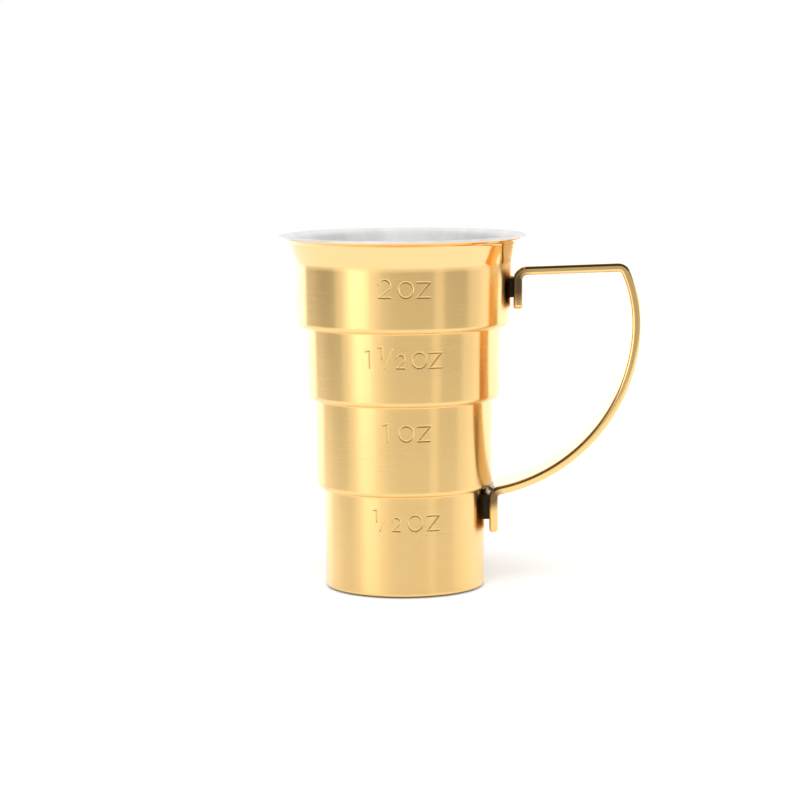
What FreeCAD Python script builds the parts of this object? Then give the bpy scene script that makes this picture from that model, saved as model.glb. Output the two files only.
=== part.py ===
import FreeCAD, Part
import math
import os
import Sketcher

# A bar jigger: a measuring cup drawn in four steps, one for each half ounce, with a flat strip bent into
# a D for a handle and brazed to the cup at both ends.
#
# Millimetres, +Z up. The origin is the centre of the resting face, on the cup's axis, and the handle
# reaches out along +X.

# Radii are those of the cup's outside. A measure has one radius at its lower end and one at its top,
# because its wall has a little draft.
CUP_SIZES = {
    "wall": 0.70,
    "half_low_radius": 15.70,
    "half_top_radius": 15.80,
    "half_top": 19.70,
    "one_low_radius": 17.25,
    "one_top_radius": 17.45,
    "one_top": 37.25,
    "onehalf_low_radius": 18.80,
    "onehalf_top_radius": 19.10,
    "onehalf_top": 51.50,
    "two_low_radius": 20.90,
    "two_top_radius": 21.10,
    "two_top": 63.80,
    "lip_root_radius": 22.80,
    "lip_root_height": 68.15,
    "rim_radius": 24.30,
    "rim_height": 68.75,
    "base_corner": 0.90,
    "base_corner_inside": 0.20,
    "step_corner": 1.10,
    "step_corner_inside": 0.40,
    "step_root": 0.30,
    "step_root_inside": 1.00,
    "lip_bend": 1.00,
    "lip_bend_inside": 1.70,
    "rim_round": 0.30,
}

# The strip's tabs, bends and runs are measured to the middle of its thickness. A tab's distance is from
# the cup's axis.
HANDLE_SIZES = {
    "strip_thickness": 1.70,
    "strip_width": 12.00,
    "strip_edge_round": 0.40,
    "tab_corner": 1.00,
    "upper_tab_distance": 22.20,
    "upper_tab_end": 54.80,
    "upper_bend": 1.80,
    "top_run_slope": 1.60,
    "top_run_height": 62.85,
    "corner_bend": 1.60,
    "shoulder_bend": 24.60,
    "main_bend": 33.30,
    "main_centre_distance": 11.90,
    "main_centre_height": 52.00,
    "lower_bend": 1.50,
    "lower_tab_distance": 17.35,
    "lower_tab_end": 11.00,
}

WELD_SIZES = {
    "upper_braze_width": 6.00,
    "upper_braze_bottom": 57.00,
    "upper_braze_height": 3.80,
    "lower_braze_width": 6.00,
    "lower_braze_bottom": 13.30,
    "lower_braze_height": 4.90,
    "braze_depth": 2.50,
    "bead_radius": 1.05,
    "bead_length": 10.60,
    "bead_distance": 16.60,
    "bead_height": 19.40,
    "bead_end_round": 0.60,
}

SIZES = {**CUP_SIZES, **HANDLE_SIZES, **WELD_SIZES}

FLOOR = "floor"

# The outside of the cup as corners, from the middle of the base up to the rim: distance from the axis,
# then height.
CUP_OUTSIDE = [
    ("half_low_radius", FLOOR),
    ("half_top_radius", "half_top"),
    ("one_low_radius", "half_top"),
    ("one_top_radius", "one_top"),
    ("onehalf_low_radius", "one_top"),
    ("onehalf_top_radius", "onehalf_top"),
    ("two_low_radius", "onehalf_top"),
    ("two_top_radius", "two_top"),
    ("lip_root_radius", "lip_root_height"),
    ("rim_radius", "rim_height"),
]

# Places in that list, counted from the middle of the base as nought.
BASE_CORNER = 1
STEP_CORNERS = (3, 5, 7)
STEP_ROOTS = (2, 4, 6)
LIP_ROOT = 9
RIM = 10

START, END, CENTRE = 1, 2, 3
X_AXIS = -1
ORIGIN = (X_AXIS, START)
FULL_TURN = 360
SMALL = 1e-4


def make_sheet(doc):
    """A sheet with one named cell for each driving size."""
    sheet = doc.addObject("Spreadsheet::Sheet", "sizes")
    for row, (name, value) in enumerate(SIZES.items(), start=1):
        sheet.set(f"A{row}", name)
        sheet.set(f"B{row}", str(value))
        sheet.setAlias(f"B{row}", name)
    doc.recompute()
    return sheet


def number(name):
    """The size with this name, in millimetres or degrees."""
    return 0.0 if name == FLOOR else SIZES[name]


def formula(name):
    """The same size as an expression that reads the sheet."""
    return "0" if name == FLOOR else f"sizes.{name}"


def bind(sketch, constraint, expression):
    """Add a dimension whose value follows the sheet."""
    index = sketch.addConstraint(constraint)
    sketch.setExpression(f"Constraints[{index}]", expression)


def place_point(sketch, geometry, point, across=None, up=None):
    """Hold a point of a sketch at a distance from the axis, a height, or both, by the sizes' names."""
    for direction, name in (("DistanceX", across), ("DistanceY", up)):
        if name is not None:
            held = Sketcher.Constraint(direction, *ORIGIN, geometry, point, number(name))
            bind(sketch, held, formula(name))


def origin_plane(body, role):
    return next(item for item in body.Origin.OriginFeatures if item.Role == role)


def new_sketch(body, name, role):
    sketch = body.newObject("Sketcher::SketchObject", name)
    sketch.AttachmentSupport = (origin_plane(body, role), [""])
    sketch.MapMode = "FlatFace"
    return sketch


def new_body(doc, name):
    body = doc.addObject("PartDesign::Body", name)
    body.Label = name
    return body


def line(start, end):
    return Part.LineSegment(FreeCAD.Vector(*start, 0), FreeCAD.Vector(*end, 0))


def arc(centre, radius, first, last):
    """An arc about a centre, counter-clockwise between two angles in degrees."""
    circle = Part.Circle(FreeCAD.Vector(*centre, 0), FreeCAD.Vector(0, 0, 1), radius)
    return Part.ArcOfCircle(circle, math.radians(first), math.radians(last))


def add_fillet(body, name, edges, size):
    """Round these edges of the body's tip with the radius of this name."""
    rounded = body.Tip
    fillet = body.newObject("PartDesign::Fillet", name)
    fillet.Base = (rounded, edges)
    fillet.setExpression("Radius", formula(size))
    body.Document.recompute()


# ---- cup ----------------------------------------------------------------------------------------


def offset_corner(before, corner, after, distance):
    """Where a corner goes when the two lines that meet there both move left by a distance."""
    first = (corner - before).normalize()
    second = (after - corner).normalize()
    left_first = FreeCAD.Vector(-first.y, first.x, 0)
    left_second = FreeCAD.Vector(-second.y, second.x, 0)
    share = distance / (1 + left_first.dot(left_second))
    return corner + (left_first + left_second) * share


def cup_corners():
    """The outside corners of the cup's wall, and the inside corners one wall thickness in."""
    outside = [FreeCAD.Vector(0, 0, 0)]
    outside += [FreeCAD.Vector(number(across), number(up), 0) for across, up in CUP_OUTSIDE]
    wall = number("wall")
    inside = [FreeCAD.Vector(0, wall, 0)]
    for index in range(1, len(outside) - 1):
        inside.append(offset_corner(*outside[index - 1 : index + 2], wall))
    flange = (outside[-1] - outside[-2]).normalize()
    inside.append(outside[-1] + FreeCAD.Vector(-flange.y, flange.x, 0) * wall)
    return outside, inside


def draw_cup_section(body):
    """Half of the cup's section: the outside held by the sheet, the inside parallel to it."""
    sketch = new_sketch(body, "cup_section", "XZ_Plane")
    outside, inside = cup_corners()
    count = len(outside) - 1
    ring = outside + inside[::-1]
    for start, end in zip(ring, ring[1:] + ring[:1]):
        sketch.addGeometry(line((start.x, start.y), (end.x, end.y)), False)
    lines = len(ring)
    for index in range(lines):
        following = (index + 1) % lines
        sketch.addConstraint(Sketcher.Constraint("Coincident", index, END, following, START))

    sketch.addConstraint(Sketcher.Constraint("Coincident", 0, START, *ORIGIN))
    sketch.addConstraint(Sketcher.Constraint("Horizontal", 0))
    for index, (across, up) in enumerate(CUP_OUTSIDE):
        place_point(sketch, index, END, across, None if up == FLOOR else up)

    sketch.addConstraint(Sketcher.Constraint("Perpendicular", count - 1, count))
    for index in range(count):
        twin = lines - 2 - index
        sketch.addConstraint(Sketcher.Constraint("Parallel", index, twin))
        gap = Sketcher.Constraint("Distance", index, START, twin, number("wall"))
        bind(sketch, gap, formula("wall"))
    sketch.addConstraint(Sketcher.Constraint("Vertical", lines - 1))
    return sketch


def rings(shape, corners):
    """Names of the circular edges that run through these corners of the section."""
    names = []
    for corner in corners:
        for index, edge in enumerate(shape.Edges, start=1):
            curve = edge.Curve
            if not isinstance(curve, Part.Circle):
                continue
            height = abs(curve.Center.z - corner.y)
            if height < SMALL and abs(curve.Radius - corner.x) < SMALL:
                names.append(f"Edge{index}")
    return names


def build_cup(doc):
    """The drawn cup: one shell, revolved, with every press corner rounded."""
    body = new_body(doc, "cup_body")
    section = draw_cup_section(body)
    doc.recompute()
    shell = body.newObject("PartDesign::Revolution", "cup_shell")
    shell.Profile = section
    shell.ReferenceAxis = (section, ["V_Axis"])
    shell.Angle = FULL_TURN
    doc.recompute()

    outside, inside = cup_corners()
    rounds = [
        ("base_corner", [outside[BASE_CORNER]]),
        ("base_corner_inside", [inside[BASE_CORNER]]),
        ("step_corner", [outside[index] for index in STEP_CORNERS]),
        ("step_corner_inside", [inside[index] for index in STEP_CORNERS]),
        ("step_root", [outside[index] for index in STEP_ROOTS]),
        ("step_root_inside", [inside[index] for index in STEP_ROOTS]),
        ("lip_bend", [outside[LIP_ROOT]]),
        ("lip_bend_inside", [inside[LIP_ROOT]]),
        ("rim_round", [outside[RIM], inside[RIM]]),
    ]
    for size, corners in rounds:
        add_fillet(body, f"round_{size}", rings(body.Shape, corners), size)
    return body


# ---- handle -------------------------------------------------------------------------------------


def add_strip_geometry(sketch):
    """The lines and arcs of the strip's path, roughly where the constraints will settle them."""
    corner_angle = 30
    lower_angle = 100
    lower_tab_length = 7
    slope = number("top_run_slope")
    upper_x, lower_x = number("upper_tab_distance"), number("lower_tab_distance")
    top = number("top_run_height")
    main = (number("main_centre_distance"), number("main_centre_height"))
    outermost = main[0] + number("main_bend")
    shoulder = (outermost - number("shoulder_bend"), main[1])
    upper_centre = (upper_x + number("upper_bend"), top - 2 * number("upper_bend"))
    corner_centre = (outermost - 2 * number("corner_bend"), top - number("corner_bend"))
    lower_centre = (lower_x + number("lower_bend"), number("lower_tab_end") + lower_tab_length)
    pieces = [
        line((upper_x, number("upper_tab_end")), (upper_x, upper_centre[1])),
        arc(upper_centre, number("upper_bend"), 90 + slope, 180),
        line((upper_centre[0], top), (corner_centre[0], top)),
        arc(corner_centre, number("corner_bend"), corner_angle, 90 + slope),
        arc(shoulder, number("shoulder_bend"), 0, corner_angle),
        arc(main, number("main_bend"), lower_angle - 180, 0),
        arc(lower_centre, number("lower_bend"), lower_angle, 180),
        line((lower_x, lower_centre[1]), (lower_x, number("lower_tab_end"))),
    ]
    return [sketch.addGeometry(piece, False) for piece in pieces]


def draw_strip_path(body):
    """The middle line of the bent strip, from the upper tab's end round to the lower tab's end."""
    sketch = new_sketch(body, "strip_path", "XZ_Plane")
    geometry = add_strip_geometry(sketch)
    upper_tab, upper_bend, top_run, corner, shoulder, main_arc, lower_bend, lower_tab = geometry

    joints = [
        (upper_tab, END, upper_bend, END),
        (upper_bend, START, top_run, START),
        (top_run, END, corner, END),
        (corner, START, shoulder, END),
        (shoulder, START, main_arc, END),
        (main_arc, START, lower_bend, START),
        (lower_bend, END, lower_tab, START),
    ]
    for joint in joints:
        sketch.addConstraint(Sketcher.Constraint("Tangent", *joint))
    for tab in (upper_tab, lower_tab):
        sketch.addConstraint(Sketcher.Constraint("Vertical", tab))

    bends = {
        upper_bend: "upper_bend",
        corner: "corner_bend",
        shoulder: "shoulder_bend",
        main_arc: "main_bend",
        lower_bend: "lower_bend",
    }
    for bend, size in bends.items():
        bind(sketch, Sketcher.Constraint("Radius", bend, number(size)), formula(size))

    place_point(sketch, main_arc, CENTRE, "main_centre_distance", "main_centre_height")
    place_point(sketch, shoulder, CENTRE, up="main_centre_height")
    place_point(sketch, upper_tab, START, "upper_tab_distance", "upper_tab_end")
    place_point(sketch, lower_tab, END, "lower_tab_distance", "lower_tab_end")
    place_point(sketch, top_run, END, up="top_run_height")
    tilt = Sketcher.Constraint("Angle", top_run, math.radians(number("top_run_slope")))
    bind(sketch, tilt, "sizes.top_run_slope * 1deg")
    return sketch


def draw_strip_section(body):
    """The strip's flat section, across the upper tab's end."""
    sketch = new_sketch(body, "strip_section", "XY_Plane")
    sketch.setExpression("AttachmentOffset.Base.z", formula("upper_tab_end"))
    middle = number("upper_tab_distance")
    thickness, width = number("strip_thickness"), number("strip_width")
    near, far = middle - thickness / 2, middle + thickness / 2
    corners = [(near, -width / 2), (far, -width / 2), (far, width / 2), (near, width / 2)]
    for start, end in zip(corners, corners[1:] + corners[:1]):
        sketch.addGeometry(line(start, end), False)
    for index in range(4):
        sketch.addConstraint(Sketcher.Constraint("Coincident", index, END, (index + 1) % 4, START))
    for index, direction in enumerate(("Horizontal", "Vertical", "Horizontal", "Vertical")):
        sketch.addConstraint(Sketcher.Constraint(direction, index))
    across = Sketcher.Constraint("DistanceX", 0, START, 0, END, thickness)
    bind(sketch, across, formula("strip_thickness"))
    along = Sketcher.Constraint("DistanceY", 1, START, 1, END, width)
    bind(sketch, along, formula("strip_width"))

    centre = sketch.addGeometry(Part.Point(FreeCAD.Vector(middle, 0, 0)), True)
    sketch.addConstraint(Sketcher.Constraint("PointOnObject", centre, START, X_AXIS))
    sketch.addConstraint(Sketcher.Constraint("Symmetric", 0, START, 2, START, centre, START))
    place_point(sketch, centre, START, across="upper_tab_distance")
    return sketch


def tab_corner_edges(shape):
    """The short edges through the strip's thickness at the four corners of its ends."""
    names = []
    for index, edge in enumerate(shape.Edges, start=1):
        box = edge.BoundBox
        flat = box.YLength < SMALL and box.ZLength < SMALL
        if flat and abs(box.XLength - number("strip_thickness")) < SMALL:
            names.append(f"Edge{index}")
    return names


def broad_face_edges(shape):
    """The edges that border the strip's broad faces, which are all that have length along it."""
    names = []
    half = number("strip_width") / 2
    for index, edge in enumerate(shape.Edges, start=1):
        middle = edge.valueAt((edge.FirstParameter + edge.LastParameter) / 2)
        box = edge.BoundBox
        on_side = box.YLength < SMALL and abs(abs(middle.y) - half) < SMALL
        through = on_side and abs(edge.Length - number("strip_thickness")) < SMALL
        at_end = box.YLength > SMALL and box.XLength < SMALL
        inner_end = at_end and box.ZLength < SMALL
        rounded_end = at_end and box.ZLength > SMALL
        if (on_side and not through) or inner_end or rounded_end:
            names.append(f"Edge{index}")
    return names


def check_strip(shape, path):
    """Stop if the swept strip's volume isn't its section times its path's length."""
    swept = number("strip_thickness") * number("strip_width") * path.Length
    if abs(shape.Volume - swept) > swept / 1000:
        raise RuntimeError(f"the strip is {shape.Volume:.1f} mm3, and its path gives {swept:.1f} mm3")


def build_handle(doc):
    """The handle: one flat strip bent along its path, with its ends' corners and its edges rounded."""
    body = new_body(doc, "handle_strip")
    path = draw_strip_path(body)
    section = draw_strip_section(body)
    doc.recompute()
    strip = body.newObject("PartDesign::AdditivePipe", "strip")
    strip.Profile = section
    strip.Spine = (path, [])
    doc.recompute()
    check_strip(body.Shape, path.Shape)
    add_fillet(body, "round_tab_corners", tab_corner_edges(body.Shape), "tab_corner")
    add_fillet(body, "round_strip_edges", broad_face_edges(body.Shape), "strip_edge_round")
    return body


# ---- brazed joints ------------------------------------------------------------------------------


def cut(doc, name, base, tool):
    piece = doc.addObject("Part::Cut", name)
    piece.Label = name
    piece.Base = base
    piece.Tool = tool
    doc.recompute()
    return piece


def measure_cone(doc, name, low_radius, top_radius, bottom, top):
    """The solid inside one measure's outer wall."""
    cone = doc.addObject("Part::Cone", name)
    cone.setExpression("Radius1", formula(low_radius))
    cone.setExpression("Radius2", formula(top_radius))
    cone.setExpression("Height", f"{formula(top)} - {formula(bottom)}")
    cone.setExpression("Placement.Base.z", formula(bottom))
    return cone


def build_braze(doc, joint, cone):
    """Braze between a flat tab and the round wall: a block up to the tab's face, less the cup's wall."""
    block = doc.addObject("Part::Box", f"{joint}_braze_block")
    face = f"sizes.{joint}_tab_distance - sizes.strip_thickness / 2"
    block.setExpression("Length", "sizes.braze_depth")
    block.setExpression("Width", f"sizes.{joint}_braze_width")
    block.setExpression("Height", f"sizes.{joint}_braze_height")
    block.setExpression("Placement.Base.x", f"{face} - sizes.braze_depth")
    block.setExpression("Placement.Base.y", f"-sizes.{joint}_braze_width / 2")
    block.setExpression("Placement.Base.z", f"sizes.{joint}_braze_bottom")
    return cut(doc, f"{joint}_tab_weld", block, cone)


def build_bead(doc, cup, handle):
    """The weld bead laid across the strip in the pocket under the lowest step."""
    rod = doc.addObject("Part::Cylinder", "bead_rod")
    rod.setExpression("Radius", formula("bead_radius"))
    rod.setExpression("Height", formula("bead_length"))
    rod.Placement.Rotation = FreeCAD.Rotation(FreeCAD.Vector(1, 0, 0), 90)
    rod.setExpression("Placement.Base.x", formula("bead_distance"))
    rod.setExpression("Placement.Base.y", "sizes.bead_length / 2")
    rod.setExpression("Placement.Base.z", formula("bead_height"))
    doc.recompute()

    rounded = doc.addObject("Part::Fillet", "bead_rounded")
    rounded.Base = rod
    size = number("bead_end_round")
    circles = [i for i, e in enumerate(rod.Shape.Edges, start=1) if isinstance(e.Curve, Part.Circle)]
    rounded.Edges = [(index, size, size) for index in circles]
    doc.recompute()
    clear_of_cup = cut(doc, "bead_clear_of_cup", rounded, cup)
    return cut(doc, "lower_weld_bead", clear_of_cup, handle)


# ---- whole --------------------------------------------------------------------------------------


def check(doc, parts):
    """Stop if any feature failed, or if a piece is empty, invalid or not one solid."""
    for item in doc.Objects:
        if "Invalid" in item.State or "Error" in item.State:
            raise RuntimeError(f"{item.Name} failed: {item.State}")
    for part in parts:
        shape = part.Shape
        if shape.isNull() or not shape.isValid() or len(shape.Solids) != 1:
            raise RuntimeError(f"{part.Label} isn't one valid solid")
        box = shape.BoundBox
        size = f"{box.XLength:.2f} x {box.YLength:.2f} x {box.ZLength:.2f}"
        print(f"{part.Label}: {shape.Volume:.2f} mm3, {size} mm")


def main():
    doc = FreeCAD.newDocument("bar_jigger")
    make_sheet(doc)
    cup = build_cup(doc)
    handle = build_handle(doc)
    two_wall = measure_cone(
        doc, "two_wall", "two_low_radius", "two_top_radius", "onehalf_top", "two_top"
    )
    half_wall = measure_cone(doc, "half_wall", "half_low_radius", "half_top_radius", FLOOR, "half_top")
    parts = [
        cup,
        handle,
        build_braze(doc, "upper", two_wall),
        build_braze(doc, "lower", half_wall),
        build_bead(doc, cup, handle),
    ]
    doc.recompute()
    check(doc, parts)
    os.makedirs("parts", exist_ok=True)
    for part in parts:
        part.Shape.exportStep(f"parts/{part.Label}.step")


main()
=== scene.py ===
import math

import bpy
import numpy as np
from mathutils import Matrix


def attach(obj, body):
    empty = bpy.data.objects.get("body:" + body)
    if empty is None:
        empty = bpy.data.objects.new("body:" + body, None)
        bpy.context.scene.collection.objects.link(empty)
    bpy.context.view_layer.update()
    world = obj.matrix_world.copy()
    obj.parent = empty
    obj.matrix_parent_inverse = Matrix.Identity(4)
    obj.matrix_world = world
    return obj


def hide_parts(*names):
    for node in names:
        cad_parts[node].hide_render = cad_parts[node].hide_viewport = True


# A bar jigger: a cup drawn in four steps with its measures marked on the front, and a flat strip bent into
# a D for its handle. Sizes are in millimetres and become metres where a mesh is made. The frame is the
# CAD model's: +Z up, the cup's axis through the origin, the handle along +X and the marks facing -Y.

MM = 0.001

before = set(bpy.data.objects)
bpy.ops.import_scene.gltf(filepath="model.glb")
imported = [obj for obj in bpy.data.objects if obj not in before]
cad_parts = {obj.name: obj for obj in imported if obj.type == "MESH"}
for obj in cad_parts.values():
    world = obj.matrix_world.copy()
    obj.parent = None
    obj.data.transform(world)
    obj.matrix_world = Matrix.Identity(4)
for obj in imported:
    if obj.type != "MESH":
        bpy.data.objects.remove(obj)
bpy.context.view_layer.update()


# ---- cup sizes ----------------------------------------------------------------------------------

WALL = 0.70
# Outside corners from the middle of the base up to the rim: distance from the axis, height, how much
# the corner is rounded outside and how much inside.
CUP_CORNERS = [
    (0.00, 0.00, 0.00, 0.00),
    (15.70, 0.00, 0.90, 0.20),
    (15.80, 19.70, 0.30, 1.00),
    (17.25, 19.70, 1.10, 0.40),
    (17.45, 37.25, 0.30, 1.00),
    (18.80, 37.25, 1.10, 0.40),
    (19.10, 51.50, 0.30, 1.00),
    (20.90, 51.50, 1.10, 0.40),
    (21.10, 63.80, 4.00, 4.70),
    (22.80, 68.15, 1.00, 1.70),
    (24.30, 68.75, 0.30, 0.30),
]
NECK_HEIGHT = 63.80
# Up to this height the base and the bottom of the foot's rounded edge take a dark painted shade: the table's
# contact shadow and its dark reflection.
FOOT_SHADE_HEIGHT = 0.30
COLUMNS = 256
ARC_STEP = math.radians(9)
# The cup's finishes, in the order of its material slots; the last is a dark painted shade at the foot's edge.
BRUSHED, POLISHED, STEEL, FOOT_SHADE = range(4)

# ---- measure marks ------------------------------------------------------------------------------

# Width, height and height above the baseline of each plain stroke letter.
GLYPHS = {
    "one": (0.80, 3.40, 0.00),
    "two": (2.25, 3.40, 0.00),
    "raised_one": (0.62, 2.35, 1.75),
    "slash": (1.60, 3.50, 0.05),
    "low_two": (1.50, 2.55, 0.00),
    "letter_o": (2.75, 2.95, 0.00),
    "letter_z": (2.45, 2.85, 0.00),
}
# For each mark its baseline's height, and its letters with their left edges' distances from the middle.
MARKS = [
    (58.50, [("two", -4.70), ("letter_o", -0.90), ("letter_z", 2.65)]),
    (
        44.95,
        [
            ("one", -7.45),
            ("raised_one", -4.80),
            ("slash", -3.70),
            ("low_two", -1.35),
            ("letter_o", 1.60),
            ("letter_z", 4.85),
        ],
    ),
    (30.75, [("one", -4.05), ("letter_o", -1.00), ("letter_z", 2.55)]),
    (
        13.20,
        [
            ("raised_one", -6.20),
            ("slash", -4.90),
            ("low_two", -2.45),
            ("letter_o", 0.60),
            ("letter_z", 4.35),
        ],
    ),
]
# How high a one's flag starts against the letter's height, and the angles that a two's bowl spans.
FLAG_HEIGHT = 0.91
BOWL_ANGLES = (170, -35)
GROOVE_HALF_WIDTH = 0.17
GROOVE_DEPTH = 0.11
# The fine patch's margin round a mark, and the size of its cells.
MARK_MARGIN = 0.55
FINE_CELL = 0.075

# ---- handle sizes, to the middle of the strip's thickness ---------------------------------------

# Each tab is its distance from the axis and its end's height, and the main arc's centre is given likewise.
STRIP_THICKNESS = 1.70
STRIP_WIDTH = 12.00
STRIP_EDGE = 0.60
SMALLEST_EDGE = 0.02
EDGE_STEPS = 6
TAB_CORNER = 1.00
END_SECTIONS = 9
UPPER_TAB = (22.20, 54.80)
UPPER_BEND = 1.80
TOP_RUN_SLOPE = math.radians(1.60)
TOP_RUN_HEIGHT = 62.85
CORNER_BEND = 1.60
SHOULDER_BEND = 24.60
MAIN_BEND = 33.30
MAIN_CENTRE = (11.90, 52.00)
LOWER_BEND = 1.50
LOWER_TAB = (17.35, 11.00)
PATH_STEP = math.radians(1.5)
FEWEST_STEPS = 6

# ---- weld bead sizes ------------------------------------------------------------------------------

# Its middle's distance from the axis and its height.
BEAD_PLACE = (16.62, 19.30)
BEAD_RADIUS = 0.98
BEAD_LENGTH = 10.60
BEAD_AROUND = 40
BEAD_ALONG = 120
# Its mean radius against the full one, the ripples left across it as it was laid, and the lumps round it.
BEAD_FULLNESS = 0.94
RIPPLE_SIZE = 0.045
RIPPLE_RATE = 6.1
RIPPLE_LEAN = 0.8
LUMP_SIZE = 0.03
LUMP_RATE = 2.3
LUMPS_AROUND = 3


# ---- meshes -------------------------------------------------------------------------------------


def make_piece(name, points, faces, materials, face_materials=None, normals=None):
    """A smooth mesh object from points in millimetres, riding on the frame's only body."""
    mesh = bpy.data.meshes.new(name)
    mesh.from_pydata((np.asarray(points, float) * MM).tolist(), [], faces)
    for material in materials:
        mesh.materials.append(material)
    if face_materials is not None:
        mesh.polygons.foreach_set("material_index", face_materials)
    mesh.polygons.foreach_set("use_smooth", [True] * len(mesh.polygons))
    if normals is None:
        normals = area_weighted_normals(points, faces)
    mesh.normals_split_custom_set_from_vertices(np.asarray(normals, float).tolist())
    mesh.update()
    piece = bpy.data.objects.new(name, mesh)
    bpy.context.scene.collection.objects.link(piece)
    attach(piece, "root")
    return piece


def unit(vectors):
    """Each vector over its length."""
    lengths = np.linalg.norm(vectors, axis=-1, keepdims=True)
    return vectors / np.maximum(lengths, 1e-12)


def area_weighted_normals(points, faces):
    """Vertex normals in which a face counts by its area, so broad faces stay flat beside small rounds."""
    points = np.asarray(points, float)
    normals = np.zeros_like(points)
    for face in faces:
        ring = points[list(face)]
        normal = np.cross(ring, np.roll(ring, -1, axis=0)).sum(axis=0)
        normals[list(face)] += normal
    return unit(normals)


# ---- cup ----------------------------------------------------------------------------------------


def offset_corners(corners, distance):
    """The corners of a line moved left by a distance, with its first and last points moved squarely."""
    ways = unit(np.diff(corners, axis=0))
    left = np.stack([-ways[:, 1], ways[:, 0]], axis=1)
    moved = [corners[0] + left[0] * distance]
    for corner, before, after in zip(corners[1:-1], left[:-1], left[1:]):
        moved.append(corner + (before + after) * distance / (1 + before @ after))
    moved.append(corners[-1] + left[-1] * distance)
    return np.array(moved)


def round_line(corners, radii):
    """A line with its corners rounded: points, and the unit normals to the right of its travel."""
    points, ways = [corners[0]], [unit(corners[1] - corners[0])]
    for before, corner, after, radius in zip(corners[:-2], corners[1:-1], corners[2:], radii[1:-1]):
        way_in, way_out = unit(corner - before), unit(after - corner)
        turn = math.atan2(way_in[0] * way_out[1] - way_in[1] * way_out[0], way_in @ way_out)
        reach = radius * math.tan(abs(turn) / 2)
        side = math.copysign(1, turn)
        centre = corner - way_in * reach + side * radius * np.array([-way_in[1], way_in[0]])
        steps = max(1, math.ceil(abs(turn) / ARC_STEP))
        for step in range(steps + 1):
            angle = turn * step / steps
            cos, sin = math.cos(angle), math.sin(angle)
            way = np.array([cos * way_in[0] - sin * way_in[1], sin * way_in[0] + cos * way_in[1]])
            points.append(centre - side * radius * np.array([-way[1], way[0]]))
            ways.append(way)
    points.append(corners[-1])
    ways.append(unit(corners[-1] - corners[-2]))
    ways = np.array(ways)
    return np.array(points), np.stack([ways[:, 1], -ways[:, 0]], axis=1)


def cup_profile():
    """Half of the cup's section, from the middle of the base round the rim to the middle of the floor."""
    sizes = np.array(CUP_CORNERS)
    outside = sizes[:, :2]
    inside = offset_corners(outside, WALL)
    inside[0, 0] = 0
    corners = np.concatenate([outside, inside[::-1]])
    radii = np.concatenate([sizes[:, 2], sizes[::-1, 3]])
    return round_line(corners, radii)


def arc_points(centre, radii, first, last, steps=24):
    """Points on an elliptical arc between two angles in degrees."""
    angles = np.radians(np.linspace(first, last, steps + 1))
    return [(centre[0] + radii[0] * math.cos(a), centre[1] + radii[1] * math.sin(a)) for a in angles]


def glyph_line(glyph, width, height):
    """A letter's single stroke, from its lower left corner."""
    if glyph in ("one", "raised_one"):
        return [(0, height * FLAG_HEIGHT), (width, height), (width, 0)]
    if glyph == "slash":
        return [(0, 0), (width, height)]
    if glyph == "letter_o":
        middle = (width / 2, height / 2)
        return arc_points(middle, middle, 0, 360, 48)
    if glyph == "letter_z":
        return [(0, height), (width, height), (0, 0), (width, 0)]
    bowl = width / 2
    return arc_points((bowl, height - bowl), (bowl, bowl), *BOWL_ANGLES) + [(0, 0), (width, 0)]


def mark_strokes(baseline, letters):
    """The straight pieces of a mark's strokes as pairs of points, across the wall and up."""
    starts, ends = [], []
    for glyph, left in letters:
        width, height, raised = GLYPHS[glyph]
        points = np.array(glyph_line(glyph, width, height)) + (left, baseline + raised)
        starts.append(points[:-1])
        ends.append(points[1:])
    return np.concatenate(starts), np.concatenate(ends)


def stroke_distance(points, starts, ends):
    """The distance from each point to the nearest stroke."""
    along = ends - starts
    lengths = np.maximum((along**2).sum(axis=1), 1e-9)
    share = ((points[:, None] - starts) * along).sum(axis=2) / lengths
    nearest = starts + np.clip(share, 0, 1)[..., None] * along
    return np.linalg.norm(points[:, None] - nearest, axis=2).min(axis=1)


def groove(distance):
    """The depth of a rounded cut at a distance from the middle of its stroke."""
    share = np.clip(1 - distance / GROOVE_HALF_WIDTH, 0, 1)
    return GROOVE_DEPTH * share * share * (3 - 2 * share)


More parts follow.
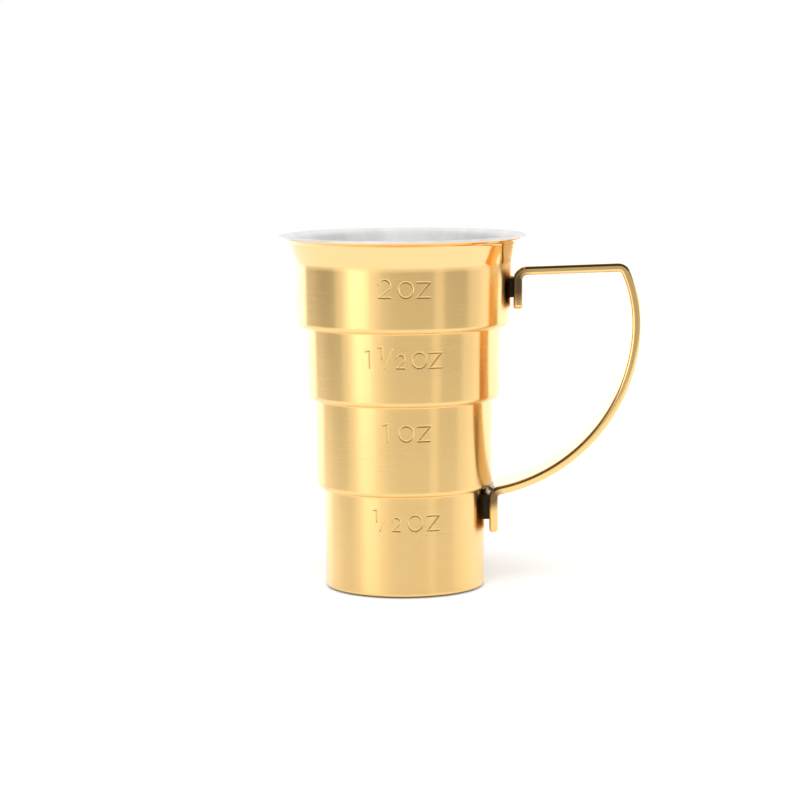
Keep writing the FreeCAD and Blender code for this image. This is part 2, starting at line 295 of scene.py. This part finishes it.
class Revolved:
    """A mesh made by turning a profile about the axis, with finer patches where the marks are cut."""

    def __init__(self, profile, normals):
        self.profile = profile
        self.slopes = normals
        self.points = []
        self.normals = []
        self.faces = []
        self.face_rows = []
        self.rows = [self.add_ring(row) for row in range(len(profile))]

    def add(self, point, normal):
        self.points.append(point)
        self.normals.append(normal)
        return len(self.points) - 1

    def add_ring(self, row):
        (radius, height), (out, up) = self.profile[row], self.slopes[row]
        if radius < 1e-6:
            return [self.add((0, 0, height), (0, 0, up))] * COLUMNS
        ring = []
        for column in range(COLUMNS):
            angle = 2 * math.pi * column / COLUMNS
            sin, cos = math.sin(angle), math.cos(angle)
            ring.append(self.add((radius * sin, -radius * cos, height), (out * sin, -out * cos, up)))
        return ring

    def add_face(self, row, ring):
        """A face from its vertices, with repeated ones dropped."""
        kept = [v for index, v in enumerate(ring) if v != ring[index - 1]]
        self.faces.append(kept)
        self.face_rows.append(row)

    def add_patch(self, row, mark):
        """A fine grid across one stretch of wall with a mark cut in it. Returns its sides' vertices."""
        (low_radius, low), (high_radius, high) = self.profile[row : row + 2]
        radius = (low_radius + high_radius) / 2
        starts, ends = mark_strokes(*mark)
        pitch = 2 * math.pi * radius / COLUMNS
        first = math.floor((starts[:, 0].min() - MARK_MARGIN) / pitch)
        last = math.ceil((max(starts[:, 0].max(), ends[:, 0].max()) + MARK_MARGIN) / pitch)
        split = math.ceil(pitch / FINE_CELL)
        across = (last - first) * split
        upward = math.ceil((high - low) / FINE_CELL)

        columns = (first + np.arange(across + 1) / split) * 2 * math.pi / COLUMNS
        shares = np.arange(upward + 1) / upward
        angle, share = np.meshgrid(columns, shares)
        height = low + (high - low) * share
        flat = np.stack([(angle * radius).ravel(), height.ravel()], axis=1)
        cut = groove(stroke_distance(flat, starts, ends)).reshape(angle.shape)
        distance = low_radius + (high_radius - low_radius) * share - cut
        grid = np.stack([distance * np.sin(angle), -distance * np.cos(angle), height], axis=2)
        facing = unit(np.cross(np.gradient(grid, axis=1), np.gradient(grid, axis=0)))

        made = np.empty(angle.shape, int)
        for level in range(upward + 1):
            for place in range(across + 1):
                on_ring = level in (0, upward) and place % split == 0
                if on_ring:
                    column = (first + place // split) % COLUMNS
                    made[level, place] = self.rows[row + (level > 0)][column]
                else:
                    made[level, place] = self.add(grid[level, place], facing[level, place])
        for level in range(upward):
            for place in range(across):
                ring = [
                    made[level, place],
                    made[level, place + 1],
                    made[level + 1, place + 1],
                    made[level + 1, place],
                ]
                self.add_face(row, [int(v) for v in ring])
        return first, last, split, made

    def build(self, marked_rows):
        """Fill every row with faces, around the patches of the rows that are marked."""
        patches = {row: self.add_patch(row, mark) for row, mark in marked_rows.items()}
        for row in range(len(self.rows) - 1):
            for column in range(COLUMNS):
                self.add_cell(row, column, patches)

    def add_cell(self, row, column, patches):
        following = (column + 1) % COLUMNS
        low, high = self.rows[row], self.rows[row + 1]
        bottom, top = [low[column], low[following]], [high[following], high[column]]
        right, left = [], []
        signed = column - COLUMNS if column > COLUMNS // 2 else column
        for patch_row, (first, last, split, made) in patches.items():
            inside = first <= signed < last
            if row == patch_row:
                if inside:
                    return
                if signed == first - 1:
                    right = made[1:-1, 0].tolist()
                if signed == last:
                    left = made[-2:0:-1, -1].tolist()
            place = (signed - first) * split
            if row == patch_row - 1 and inside:
                top = made[0, place : place + split + 1][::-1].tolist()
            if row == patch_row + 1 and inside:
                bottom = made[-1, place : place + split + 1].tolist()
        self.add_face(row, bottom + right + top + left)


def split_rows(profile, slopes):
    """Add two profile points to each marked wall, below and above its mark. Returns the marked rows too."""
    points, normals, marked = list(profile), list(slopes), {}
    for mark in MARKS:
        baseline, letters = mark
        top = baseline + max(GLYPHS[glyph][1] + GLYPHS[glyph][2] for glyph, _ in letters)
        for row in range(len(points) - 1):
            (low_radius, low), (high_radius, high) = points[row], points[row + 1]
            if low < baseline - MARK_MARGIN and high > top + MARK_MARGIN:
                break
        added = []
        for height in (baseline - MARK_MARGIN, top + MARK_MARGIN):
            share = (height - low) / (high - low)
            added.append(np.array([low_radius + (high_radius - low_radius) * share, height]))
        points[row + 1 : row + 1] = added
        normals[row + 1 : row + 1] = [normals[row], normals[row]]
        marked = {r + 2 if r > row else r: m for r, m in marked.items()}
        marked[row + 1] = mark
    return np.array(points), np.array(normals), marked


def cup_face_materials(cup):
    """Brushed gold up to the neck over a foot edge painted dark as shade, polished gold on the flare, steel
    from the rim inward.
    """
    rim = int(np.argmax(cup.profile[:, 0]))
    chosen = []
    for row in cup.face_rows:
        if row >= rim:
            chosen.append(STEEL)
        elif cup.profile[row, 1] >= NECK_HEIGHT:
            chosen.append(POLISHED)
        else:
            # The lowest rows get the painted shade of the table's contact at the foot.
            chosen.append(FOOT_SHADE if cup.profile[row, 1] < FOOT_SHADE_HEIGHT else BRUSHED)
    return chosen


def build_cup(materials):
    """The drawn shell with its marks cut into the four walls."""
    profile, slopes, marked = split_rows(*cup_profile())
    cup = Revolved(profile, slopes)
    cup.build(marked)
    piece = make_piece("cup", cup.points, cup.faces, materials, cup_face_materials(cup), cup.normals)
    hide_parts("cup_body")


# ---- handle -------------------------------------------------------------------------------------


def path_arc(centre, radius, first, last, turn):
    """Points on an arc and their ways along it; turn is 1 counter-clockwise and -1 clockwise."""
    steps = max(FEWEST_STEPS, math.ceil(abs(last - first) / PATH_STEP))
    angles = np.linspace(first, last, steps + 1)
    points = np.stack([centre[0] + radius * np.cos(angles), centre[1] + radius * np.sin(angles)], axis=1)
    ways = turn * np.stack([-np.sin(angles), np.cos(angles)], axis=1)
    return points, ways


def strip_path():
    """The arcs of the strip's middle line between its two tabs, each as its points and their ways."""
    slope = TOP_RUN_SLOPE
    main_x, main_z = MAIN_CENTRE
    shoulder = (main_x + MAIN_BEND - SHOULDER_BEND, main_z)
    corner_z = TOP_RUN_HEIGHT - CORNER_BEND * math.cos(slope)
    corner_x = shoulder[0] + math.sqrt((SHOULDER_BEND - CORNER_BEND) ** 2 - (corner_z - main_z) ** 2)
    run_end = (corner_x - CORNER_BEND * math.sin(slope), TOP_RUN_HEIGHT)
    shoulder_start = math.atan2(corner_z - main_z, corner_x - shoulder[0])

    upper_x = UPPER_TAB[0] + UPPER_BEND
    bend_top = run_end[1] - (run_end[0] - upper_x + UPPER_BEND * math.sin(slope)) * math.tan(slope)
    upper_z = bend_top - UPPER_BEND * math.cos(slope)

    lower_x = LOWER_TAB[0] + LOWER_BEND
    lower_z = main_z - math.sqrt((MAIN_BEND + LOWER_BEND) ** 2 - (lower_x - main_x) ** 2)
    main_end = math.atan2(lower_z - main_z, lower_x - main_x)

    up_turn = math.pi / 2 + slope
    return [
        path_arc((upper_x, upper_z), UPPER_BEND, math.pi, up_turn, -1),
        path_arc((corner_x, corner_z), CORNER_BEND, up_turn, shoulder_start, -1),
        path_arc(shoulder, SHOULDER_BEND, shoulder_start, 0, -1),
        path_arc(MAIN_CENTRE, MAIN_BEND, 0, main_end, -1),
        path_arc((lower_x, lower_z), LOWER_BEND, main_end + math.pi, math.pi, 1),
    ]


def end_distances():
    """Distances from a tab's end where its rounded corners and edge need a section."""
    turns = np.radians(np.linspace(0, 90, END_SECTIONS))
    edge = STRIP_EDGE * (1 - np.cos(turns))
    corner = TAB_CORNER * (1 - np.cos(turns))
    return np.unique(np.round(np.concatenate([edge, corner]), 5))


def rounded_reach(distance, radius):
    """How far a round of this radius has pulled in at a distance from the end."""
    if distance >= radius:
        return 0.0
    return radius - math.sqrt(radius**2 - (radius - distance) ** 2)


def strip_stations():
    """Points, ways and distances from the nearer end, for every section of the strip."""
    distances = end_distances()
    points, ways, ends = [], [], []
    for distance in distances:
        points.append((UPPER_TAB[0], UPPER_TAB[1] + distance))
        ways.append((0, 1))
        ends.append(distance)
    for arc, directions in strip_path():
        skip = 1 if np.allclose(points[-1], arc[0]) else 0
        points.extend(arc[skip:])
        ways.extend(directions[skip:])
        ends.extend([TAB_CORNER] * (len(arc) - skip))
    for distance in distances[::-1]:
        points.append((LOWER_TAB[0], LOWER_TAB[1] + distance))
        ways.append((0, -1))
        ends.append(distance)
    return np.array(points), np.array(ways), np.array(ends)


def strip_section(distance):
    """The strip's section as points across its thickness and along its width, near one of its ends."""
    pulled = rounded_reach(distance, STRIP_EDGE)
    half_thickness = STRIP_THICKNESS / 2 - pulled
    half_width = STRIP_WIDTH / 2 - pulled - rounded_reach(distance, TAB_CORNER)
    radius = max(STRIP_EDGE - pulled, SMALLEST_EDGE)
    centres = [(1, 1), (-1, 1), (-1, -1), (1, -1)]
    section = []
    for quarter, (thick, wide) in enumerate(centres):
        centre = (thick * (half_thickness - radius), wide * (half_width - radius))
        section += arc_points(centre, (radius, radius), 90 * quarter, 90 * quarter + 90, EDGE_STEPS)
    return np.array(section)


def build_handle(material):
    """The strip swept along its path, closed by a flat face at each tab."""
    points, faces, rings = [], [], []
    for (x, z), (way_x, way_z), distance in zip(*strip_stations()):
        ring = []
        for thick, wide in strip_section(distance):
            ring.append(len(points))
            points.append((x - way_z * thick, wide, z + way_x * thick))
        rings.append(ring)
    count = len(rings[0])
    for ring, following in zip(rings[:-1], rings[1:]):
        for index in range(count):
            after = (index + 1) % count
            faces.append((ring[index], ring[after], following[after], following[index]))
    faces.append(tuple(reversed(rings[0])))
    faces.append(tuple(rings[-1]))
    piece = make_piece("handle", points, faces, [material])
    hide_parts("handle_strip")


# ---- weld bead ----------------------------------------------------------------------------------


def bead_radius(place, angle):
    """The bead's radius at a place along it and an angle round it: rippled, lumpy and round at its ends."""
    past = max(0.0, abs(place) - BEAD_LENGTH / 2 + BEAD_RADIUS) / BEAD_RADIUS
    end_round = math.sqrt(max(0.0, 1 - past**2))
    ripple = RIPPLE_SIZE * math.sin(RIPPLE_RATE * place + RIPPLE_LEAN * math.sin(angle))
    lump = LUMP_SIZE * math.sin(LUMPS_AROUND * angle + LUMP_RATE * place)
    return BEAD_RADIUS * end_round * (BEAD_FULLNESS + ripple + lump)


def build_bead(material):
    """The weld bead across the strip: a round-ended run of metal with the ripples it cooled in."""
    points, faces = [], []
    for step in range(1, BEAD_ALONG):
        place = -BEAD_LENGTH / 2 * math.cos(math.pi * step / BEAD_ALONG)
        for spot in range(BEAD_AROUND):
            angle = 2 * math.pi * spot / BEAD_AROUND
            radius = bead_radius(place, angle)
            out, up = radius * math.cos(angle), radius * math.sin(angle)
            points.append((BEAD_PLACE[0] + out, place, BEAD_PLACE[1] + up))
    last = (BEAD_ALONG - 2) * BEAD_AROUND
    for near in range(0, last, BEAD_AROUND):
        far = near + BEAD_AROUND
        for spot in range(BEAD_AROUND):
            after = (spot + 1) % BEAD_AROUND
            faces.append((near + spot, far + spot, far + after, near + after))
    faces.append(tuple(range(BEAD_AROUND)))
    faces.append(tuple(reversed(range(last, last + BEAD_AROUND))))
    piece = make_piece("weld_bead", points, faces, [material])
    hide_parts("lower_weld_bead")


# ---- materials ----------------------------------------------------------------------------------

# Where a colour mix node keeps its two colours and its result.
TONE_A, TONE_B, TONE_RESULT = 6, 7, 2

# How far a mottled metal's roughness wanders each way.
ROUGH_SWING = 0.1

# Brazing browned the strip near its two joints: a middle, then how far the brown is full and where it ends.
HEAT_BROWN = (0.16, 0.095, 0.035)
HEAT_STAINS = [
    ((21.6, -6.0, 59.6), 1.2, 4.6),
    ((16.8, -6.0, 18.0), 0.8, 3.2),
]


def add(tree, kind, inputs=None, **settings):
    """A shader node with its settings, and its inputs set to values or linked to sockets."""
    made = tree.nodes.new(kind)
    for name, value in settings.items():
        setattr(made, name, value)
    for name, value in (inputs or {}).items():
        if isinstance(value, bpy.types.NodeSocket):
            tree.links.new(value, made.inputs[name])
        else:
            made.inputs[name].default_value = value
    return made


def maths(tree, operation, first, second=0.0):
    return add(tree, "ShaderNodeMath", {0: first, 1: second}, operation=operation).outputs[0]


def spread(tree, value, low, high):
    """A value from 0 to 1 spread between two others."""
    inputs = {"Value": value, "To Min": low, "To Max": high}
    return add(tree, "ShaderNodeMapRange", inputs).outputs["Result"]


def soft_step(tree, value, start, end):
    """0 before start and 1 past end, with a soft way between."""
    inputs = {"Value": value, "From Min": start, "From Max": end}
    step = add(tree, "ShaderNodeMapRange", inputs, interpolation_type="SMOOTHSTEP")
    return step.outputs["Result"]


def blend_values(tree, first, second, share):
    mix = add(tree, "ShaderNodeMix", {"Factor": share, "A": first, "B": second}, data_type="FLOAT")
    return mix.outputs["Result"]


def new_material(name, colour):
    """A metal and its tree, with the colour on the shader itself."""
    material = bpy.data.materials.new(name)
    material.use_nodes = True
    shader = material.node_tree.nodes["Principled BSDF"]
    shader.inputs["Base Color"].default_value = (*colour, 1)
    shader.inputs["Metallic"].default_value = 1
    return material, material.node_tree, shader


def lacquer(shader, roughness):
    """A thin clear coat over the plating, which turns its grazing edges pale."""
    shader.inputs["Coat Weight"].default_value = 0.4
    shader.inputs["Coat IOR"].default_value = 1.5
    shader.inputs["Coat Roughness"].default_value = roughness


def turned_place(tree, along, across):
    """A place for noise on turned metal: slow round the axis, fast up the wall and across a flat."""
    place = add(tree, "ShaderNodeTexCoord").outputs["Object"]
    parts = add(tree, "ShaderNodeSeparateXYZ", {0: place}).outputs
    flat = add(tree, "ShaderNodeCombineXYZ", {0: parts[0], 1: parts[1]}).outputs[0]
    radius = add(tree, "ShaderNodeVectorMath", {0: flat}, operation="LENGTH").outputs["Value"]
    rise = maths(tree, "ADD", parts[2], radius)
    inputs = {
        0: maths(tree, "MULTIPLY", parts[0], along),
        1: maths(tree, "MULTIPLY", parts[1], along),
        2: maths(tree, "MULTIPLY", rise, across),
    }
    return add(tree, "ShaderNodeCombineXYZ", inputs).outputs[0]


def noise(tree, place, scale=1.0, detail=2.0):
    inputs = {"Vector": place, "Scale": scale, "Detail": detail}
    return add(tree, "ShaderNodeTexNoise", inputs).outputs["Fac"]


def object_place(tree):
    return add(tree, "ShaderNodeTexCoord").outputs["Object"]


def set_bump(tree, shader, height, distance):
    bump = add(tree, "ShaderNodeBump", {"Height": height, "Distance": distance, "Strength": 1.0})
    tree.links.new(bump.outputs["Normal"], shader.inputs["Normal"])


def tone_blend(tree, first, second, share):
    """A colour between two others, each red, green and blue or a socket, by a share from 0 to 1."""
    tones = {TONE_A: first, TONE_B: second}
    inputs = {place: (*tone, 1) if isinstance(tone, tuple) else tone for place, tone in tones.items()}
    mix = add(tree, "ShaderNodeMix", {**inputs, "Factor": share}, data_type="RGBA")
    return mix.outputs[TONE_RESULT]


def near_place(tree, place, centre, inner, outer):
    """0 within the inner distance of a point in millimetres, and 1 past the outer one."""
    point = tuple(value * MM for value in centre)
    distance = add(tree, "ShaderNodeVectorMath", {0: place, 1: point}, operation="DISTANCE").outputs["Value"]
    return soft_step(tree, distance, inner * MM, outer * MM)


def tint(tree, shader, dark, light, share):
    """Let the base colour wander between two tones."""
    tree.links.new(tone_blend(tree, dark, light, share), shader.inputs["Base Color"])


def roughen(tree, shader, fine, broad, swing, low, high):
    """Let the roughness wander between two values with a broad noise, and swing a little with a fine one."""
    wear = maths(tree, "ADD", spread(tree, fine, -swing, swing), spread(tree, broad, low, high))
    tree.links.new(wear, shader.inputs["Roughness"])


def brushed_gold():
    """Gold brushed round the cup: long fine lines, with smudges that dull it in places."""
    material, tree, shader = new_material("gold_brushed", (0.93, 0.63, 0.25))
    lines = noise(tree, turned_place(tree, along=25, across=5200), detail=2)
    smudges = noise(tree, object_place(tree), scale=70, detail=2)
    tint(tree, shader, (0.90, 0.60, 0.23), (0.95, 0.65, 0.27), lines)
    roughen(tree, shader, lines, smudges, swing=0.03, low=0.24, high=0.28)
    shader.inputs["Anisotropic"].default_value = 1.0
    shader.inputs["Anisotropic Rotation"].default_value = 0.25
    tangent = add(tree, "ShaderNodeTangent", direction_type="RADIAL", axis="Z")
    tree.links.new(tangent.outputs[0], shader.inputs["Tangent"])
    set_bump(tree, shader, lines, distance=0.000002)
    lacquer(shader, roughness=0.30)
    return material


def polished_gold():
    """The flare under the rim, buffed bright, with the faint waves of hand polishing."""
    material, tree, shader = new_material("gold_polished", (0.92, 0.61, 0.27))
    waves = noise(tree, turned_place(tree, along=120, across=350), detail=1)
    hairlines = noise(tree, turned_place(tree, along=60, across=5000), detail=2)
    tint(tree, shader, (0.90, 0.59, 0.25), (0.93, 0.63, 0.29), hairlines)
    tree.links.new(spread(tree, hairlines, 0.05, 0.13), shader.inputs["Roughness"])
    set_bump(tree, shader, waves, distance=0.00003)
    lacquer(shader, roughness=0.10)
    return material


def inside_steel():
    """Bare steel inside the cup, from the rim's edge down, with marks of drawing up its walls."""
    material, tree, shader = new_material("steel_inside", (0.80, 0.79, 0.77))
    shader.inputs["Metallic"].default_value = 0.30
    place = object_place(tree)
    parts = add(tree, "ShaderNodeSeparateXYZ", {0: place}).outputs
    angle = maths(tree, "ARCTAN2", parts[0], parts[1])
    spokes_place = add(tree, "ShaderNodeCombineXYZ", {0: angle, 1: maths(tree, "MULTIPLY", parts[2], 20)})
    drawn = noise(tree, spokes_place.outputs[0], scale=5, detail=2)
    off_the_floor = soft_step(tree, parts[2], 1.5 * MM, 8.0 * MM)
    spokes = blend_values(tree, 0.5, drawn, off_the_floor)
    lines = noise(tree, turned_place(tree, along=60, across=4200), detail=3)
    contrast = spread(tree, spokes, -0.15, 1.15)
    tint(tree, shader, (0.70, 0.695, 0.685), (0.92, 0.915, 0.905), contrast)
    roughen(tree, shader, lines, spokes, swing=0.05, low=0.38, high=0.50)
    set_bump(tree, shader, lines, distance=0.000004)
    return material


def satin_gold():
    """The handle's gold: satin with a fine grain, a little duller in smudged places."""
    material, tree, shader = new_material("gold_satin", (0.92, 0.64, 0.27))
    place = object_place(tree)
    grain = noise(tree, place, scale=6000, detail=2)
    smudges = noise(tree, place, scale=160, detail=3)
    clean = near_place(tree, place, *HEAT_STAINS[0])
    for spot in HEAT_STAINS[1:]:
        clean = maths(tree, "MINIMUM", clean, near_place(tree, place, *spot))
    gold = tone_blend(tree, (0.86, 0.57, 0.215), (0.93, 0.635, 0.26), smudges)
    tint(tree, shader, HEAT_BROWN, gold, clean)
    roughen(tree, shader, grain, smudges, swing=0.03, low=0.08, high=0.15)
    set_bump(tree, shader, grain, distance=0.000006)
    lacquer(shader, roughness=0.15)
    return material


def mottled_metal(name, dark, light, rough):
    """Dull bare metal, mottled and slightly lumpy."""
    material, tree, shader = new_material(name, light)
    place = object_place(tree)
    mottle = noise(tree, place, scale=1400, detail=4)
    lumps = noise(tree, place, scale=900, detail=2)
    tint(tree, shader, dark, light, mottle)
    tree.links.new(spread(tree, mottle, rough - ROUGH_SWING, rough + ROUGH_SWING), shader.inputs["Roughness"])
    set_bump(tree, shader, lumps, distance=0.0001)
    return material


def painted_foot_shade():
    """Painted shade at the foot's edge: a dark brown standing in for the contact shadow on the table and its
    dark reflection in the rounded edge.
    """
    return mottled_metal("painted_foot_shade", dark=(0.10, 0.065, 0.025), light=(0.30, 0.20, 0.08), rough=0.45)


def braze_metal():
    """Braze blackened by the torch."""
    return mottled_metal("braze", dark=(0.015, 0.014, 0.012), light=(0.07, 0.06, 0.04), rough=0.5)


def weld_steel():
    """The bead's bare grey steel, left as it cooled."""
    return mottled_metal("weld_steel", dark=(0.30, 0.30, 0.31), light=(0.78, 0.78, 0.79), rough=0.3)


def give(node, material):
    """Finish a CAD node that stays as it is."""
    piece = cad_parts[node]
    piece.data.materials.clear()
    piece.data.materials.append(material)


# ---- studio -------------------------------------------------------------------------------------

CAMERA_PLACE = (0.0, -503.0, 97.2)
CAMERA_YAW = math.radians(-0.092)
CAMERA_PITCH = math.radians(6.862)
CAMERA_ROLL = math.radians(-0.427)
CAMERA_LENS = 115.8
SENSOR_WIDTH = 36

# Round the object from straight behind, over its left and its front to its right: direction in degrees,
# with 0 towards the camera and 90 to the right, and brightness. A white tent with grey cards in it.
TENT = [
    (-180, 1.40),
    (-160, 1.30),
    (-150, 2.00),
    (-134, 2.00),
    (-124, 0.55),
    (-90, 0.25),
    (-82, 0.30),
    (-73, 0.90),
    (-54, 2.60),
    (-43, 2.40),
    (-32, 1.30),
    (-18, 0.75),
    (-8, 0.56),
    (31, 0.53),
    (35, 1.00),
    (42, 1.00),
    (46, 0.46),
    (68, 0.42),
    (78, 0.95),
    (104, 1.50),
    (125, 1.70),
    (150, 1.40),
    (180, 1.40),
]
# The ring of zones gives way to the ceiling between these two rises, and the ceiling, dark over the camera,
# to a bright sky behind the object between these two depths. Both are parts of a way of length 1.
RING_TOP = (0.16, 0.30)
BACK_SKY_EDGE = (0.30, 0.45)
CEILING = 0.05
BACK_SKY = 0.90

OVERHEAD_STRENGTH = 3.2
OVERHEAD_TILT = math.radians(32)
OVERHEAD_SPREAD = math.radians(70)

FLOOR_RADIUS = 0.30
FLOOR_DROP = 0.0001
FLOOR_SIDES = 120


def make_camera():
    camera = bpy.data.objects.new("camera", bpy.data.cameras.new("camera"))
    bpy.context.scene.collection.objects.link(camera)
    sin, cos = math.sin, math.cos
    forward = np.array(
        [sin(CAMERA_YAW) * cos(CAMERA_PITCH), cos(CAMERA_YAW) * cos(CAMERA_PITCH), -sin(CAMERA_PITCH)]
    )
    level = np.array([cos(CAMERA_YAW), -sin(CAMERA_YAW), 0])
    upright = np.cross(level, forward)
    right = cos(CAMERA_ROLL) * level + sin(CAMERA_ROLL) * upright
    up = -sin(CAMERA_ROLL) * level + cos(CAMERA_ROLL) * upright
    place = np.array(CAMERA_PLACE) * MM
    rows = [[right[i], up[i], -forward[i], place[i]] for i in range(3)]
    camera.matrix_world = Matrix(rows + [[0, 0, 0, 1]])
    camera.data.lens = CAMERA_LENS
    camera.data.sensor_width = SENSOR_WIDTH
    camera.data.clip_start = 0.01
    camera.data.clip_end = 50
    bpy.context.scene.camera = camera


def make_tent():
    """The light all round: soft bright and grey zones by direction. Seen directly it is plain white."""
    world = bpy.data.worlds.new("tent")
    world.use_nodes = True
    bpy.context.scene.world = world
    tree = world.node_tree
    tree.nodes.clear()
    way = add(tree, "ShaderNodeTexCoord").outputs["Generated"]
    parts = add(tree, "ShaderNodeSeparateXYZ", {0: way}).outputs
    angle = maths(tree, "ARCTAN2", parts[0], maths(tree, "MULTIPLY", parts[1], -1.0))
    turn = maths(tree, "ADD", maths(tree, "DIVIDE", angle, 2 * math.pi), 0.5)
    brightest = max(brightness for _, brightness in TENT)
    ramp = add(tree, "ShaderNodeValToRGB", {0: turn})
    ramp.color_ramp.interpolation = "EASE"
    stops = ramp.color_ramp.elements
    while len(stops) < len(TENT):
        stops.new(0.5)
    for stop, (direction, brightness) in zip(stops, TENT):
        stop.position = (direction + 180) / 360
        share = brightness / brightest
        stop.color = (share, share, share, 1)
    ring = maths(tree, "MULTIPLY", ramp.outputs["Color"], brightest)

    sky = blend_values(tree, CEILING, BACK_SKY, soft_step(tree, parts[1], *BACK_SKY_EDGE))
    whole = blend_values(tree, ring, sky, soft_step(tree, parts[2], *RING_TOP))
    seen = add(tree, "ShaderNodeLightPath").outputs["Is Camera Ray"]
    strength = blend_values(tree, whole, 1.0, seen)
    light = add(tree, "ShaderNodeBackground", {"Color": (1, 1, 1, 1), "Strength": strength})
    add(tree, "ShaderNodeOutputWorld", {"Surface": light.outputs[0]})


def make_overhead():
    """A broad lamp above that lights the table and the bare steel, and stays out of the gold."""
    lamp = bpy.data.lights.new("overhead", "SUN")
    lamp.angle = OVERHEAD_SPREAD
    lamp.energy = OVERHEAD_STRENGTH
    overhead = bpy.data.objects.new("overhead", lamp)
    overhead.rotation_euler.x = OVERHEAD_TILT
    overhead.visible_glossy = False
    overhead.visible_camera = False
    bpy.context.scene.collection.objects.link(overhead)


def make_floor():
    """A round white table, glowing a little so that it stays pale around the foot."""
    mesh = bpy.data.meshes.new("floor")
    turns = 2 * np.pi * np.arange(FLOOR_SIDES) / FLOOR_SIDES
    corners = [(FLOOR_RADIUS * math.cos(a), FLOOR_RADIUS * math.sin(a), 0) for a in turns]
    mesh.from_pydata(corners, [], [tuple(range(len(corners)))])
    material = bpy.data.materials.new("white_table")
    material.use_nodes = True
    shader = material.node_tree.nodes["Principled BSDF"]
    shader.inputs["Base Color"].default_value = (0.88, 0.88, 0.88, 1)
    shader.inputs["Roughness"].default_value = 0.5
    shader.inputs["Specular IOR Level"].default_value = 0.2
    shader.inputs["Emission Color"].default_value = (1, 1, 1, 1)
    shader.inputs["Emission Strength"].default_value = 0.25
    mesh.materials.append(material)
    floor = bpy.data.objects.new("floor", mesh)
    floor.location.z = -FLOOR_DROP
    bpy.context.scene.collection.objects.link(floor)


# ---- whole --------------------------------------------------------------------------------------

# The cup's fourth material is the dark painted shade at the foot's edge.
build_cup([brushed_gold(), polished_gold(), inside_steel(), painted_foot_shade()])
build_handle(satin_gold())
build_bead(weld_steel())
braze = braze_metal()
give("upper_tab_weld", braze)
give("lower_tab_weld", braze)
make_camera()
make_tent()
make_overhead()
make_floor()
bpy.context.scene.view_settings.view_transform = "Standard"
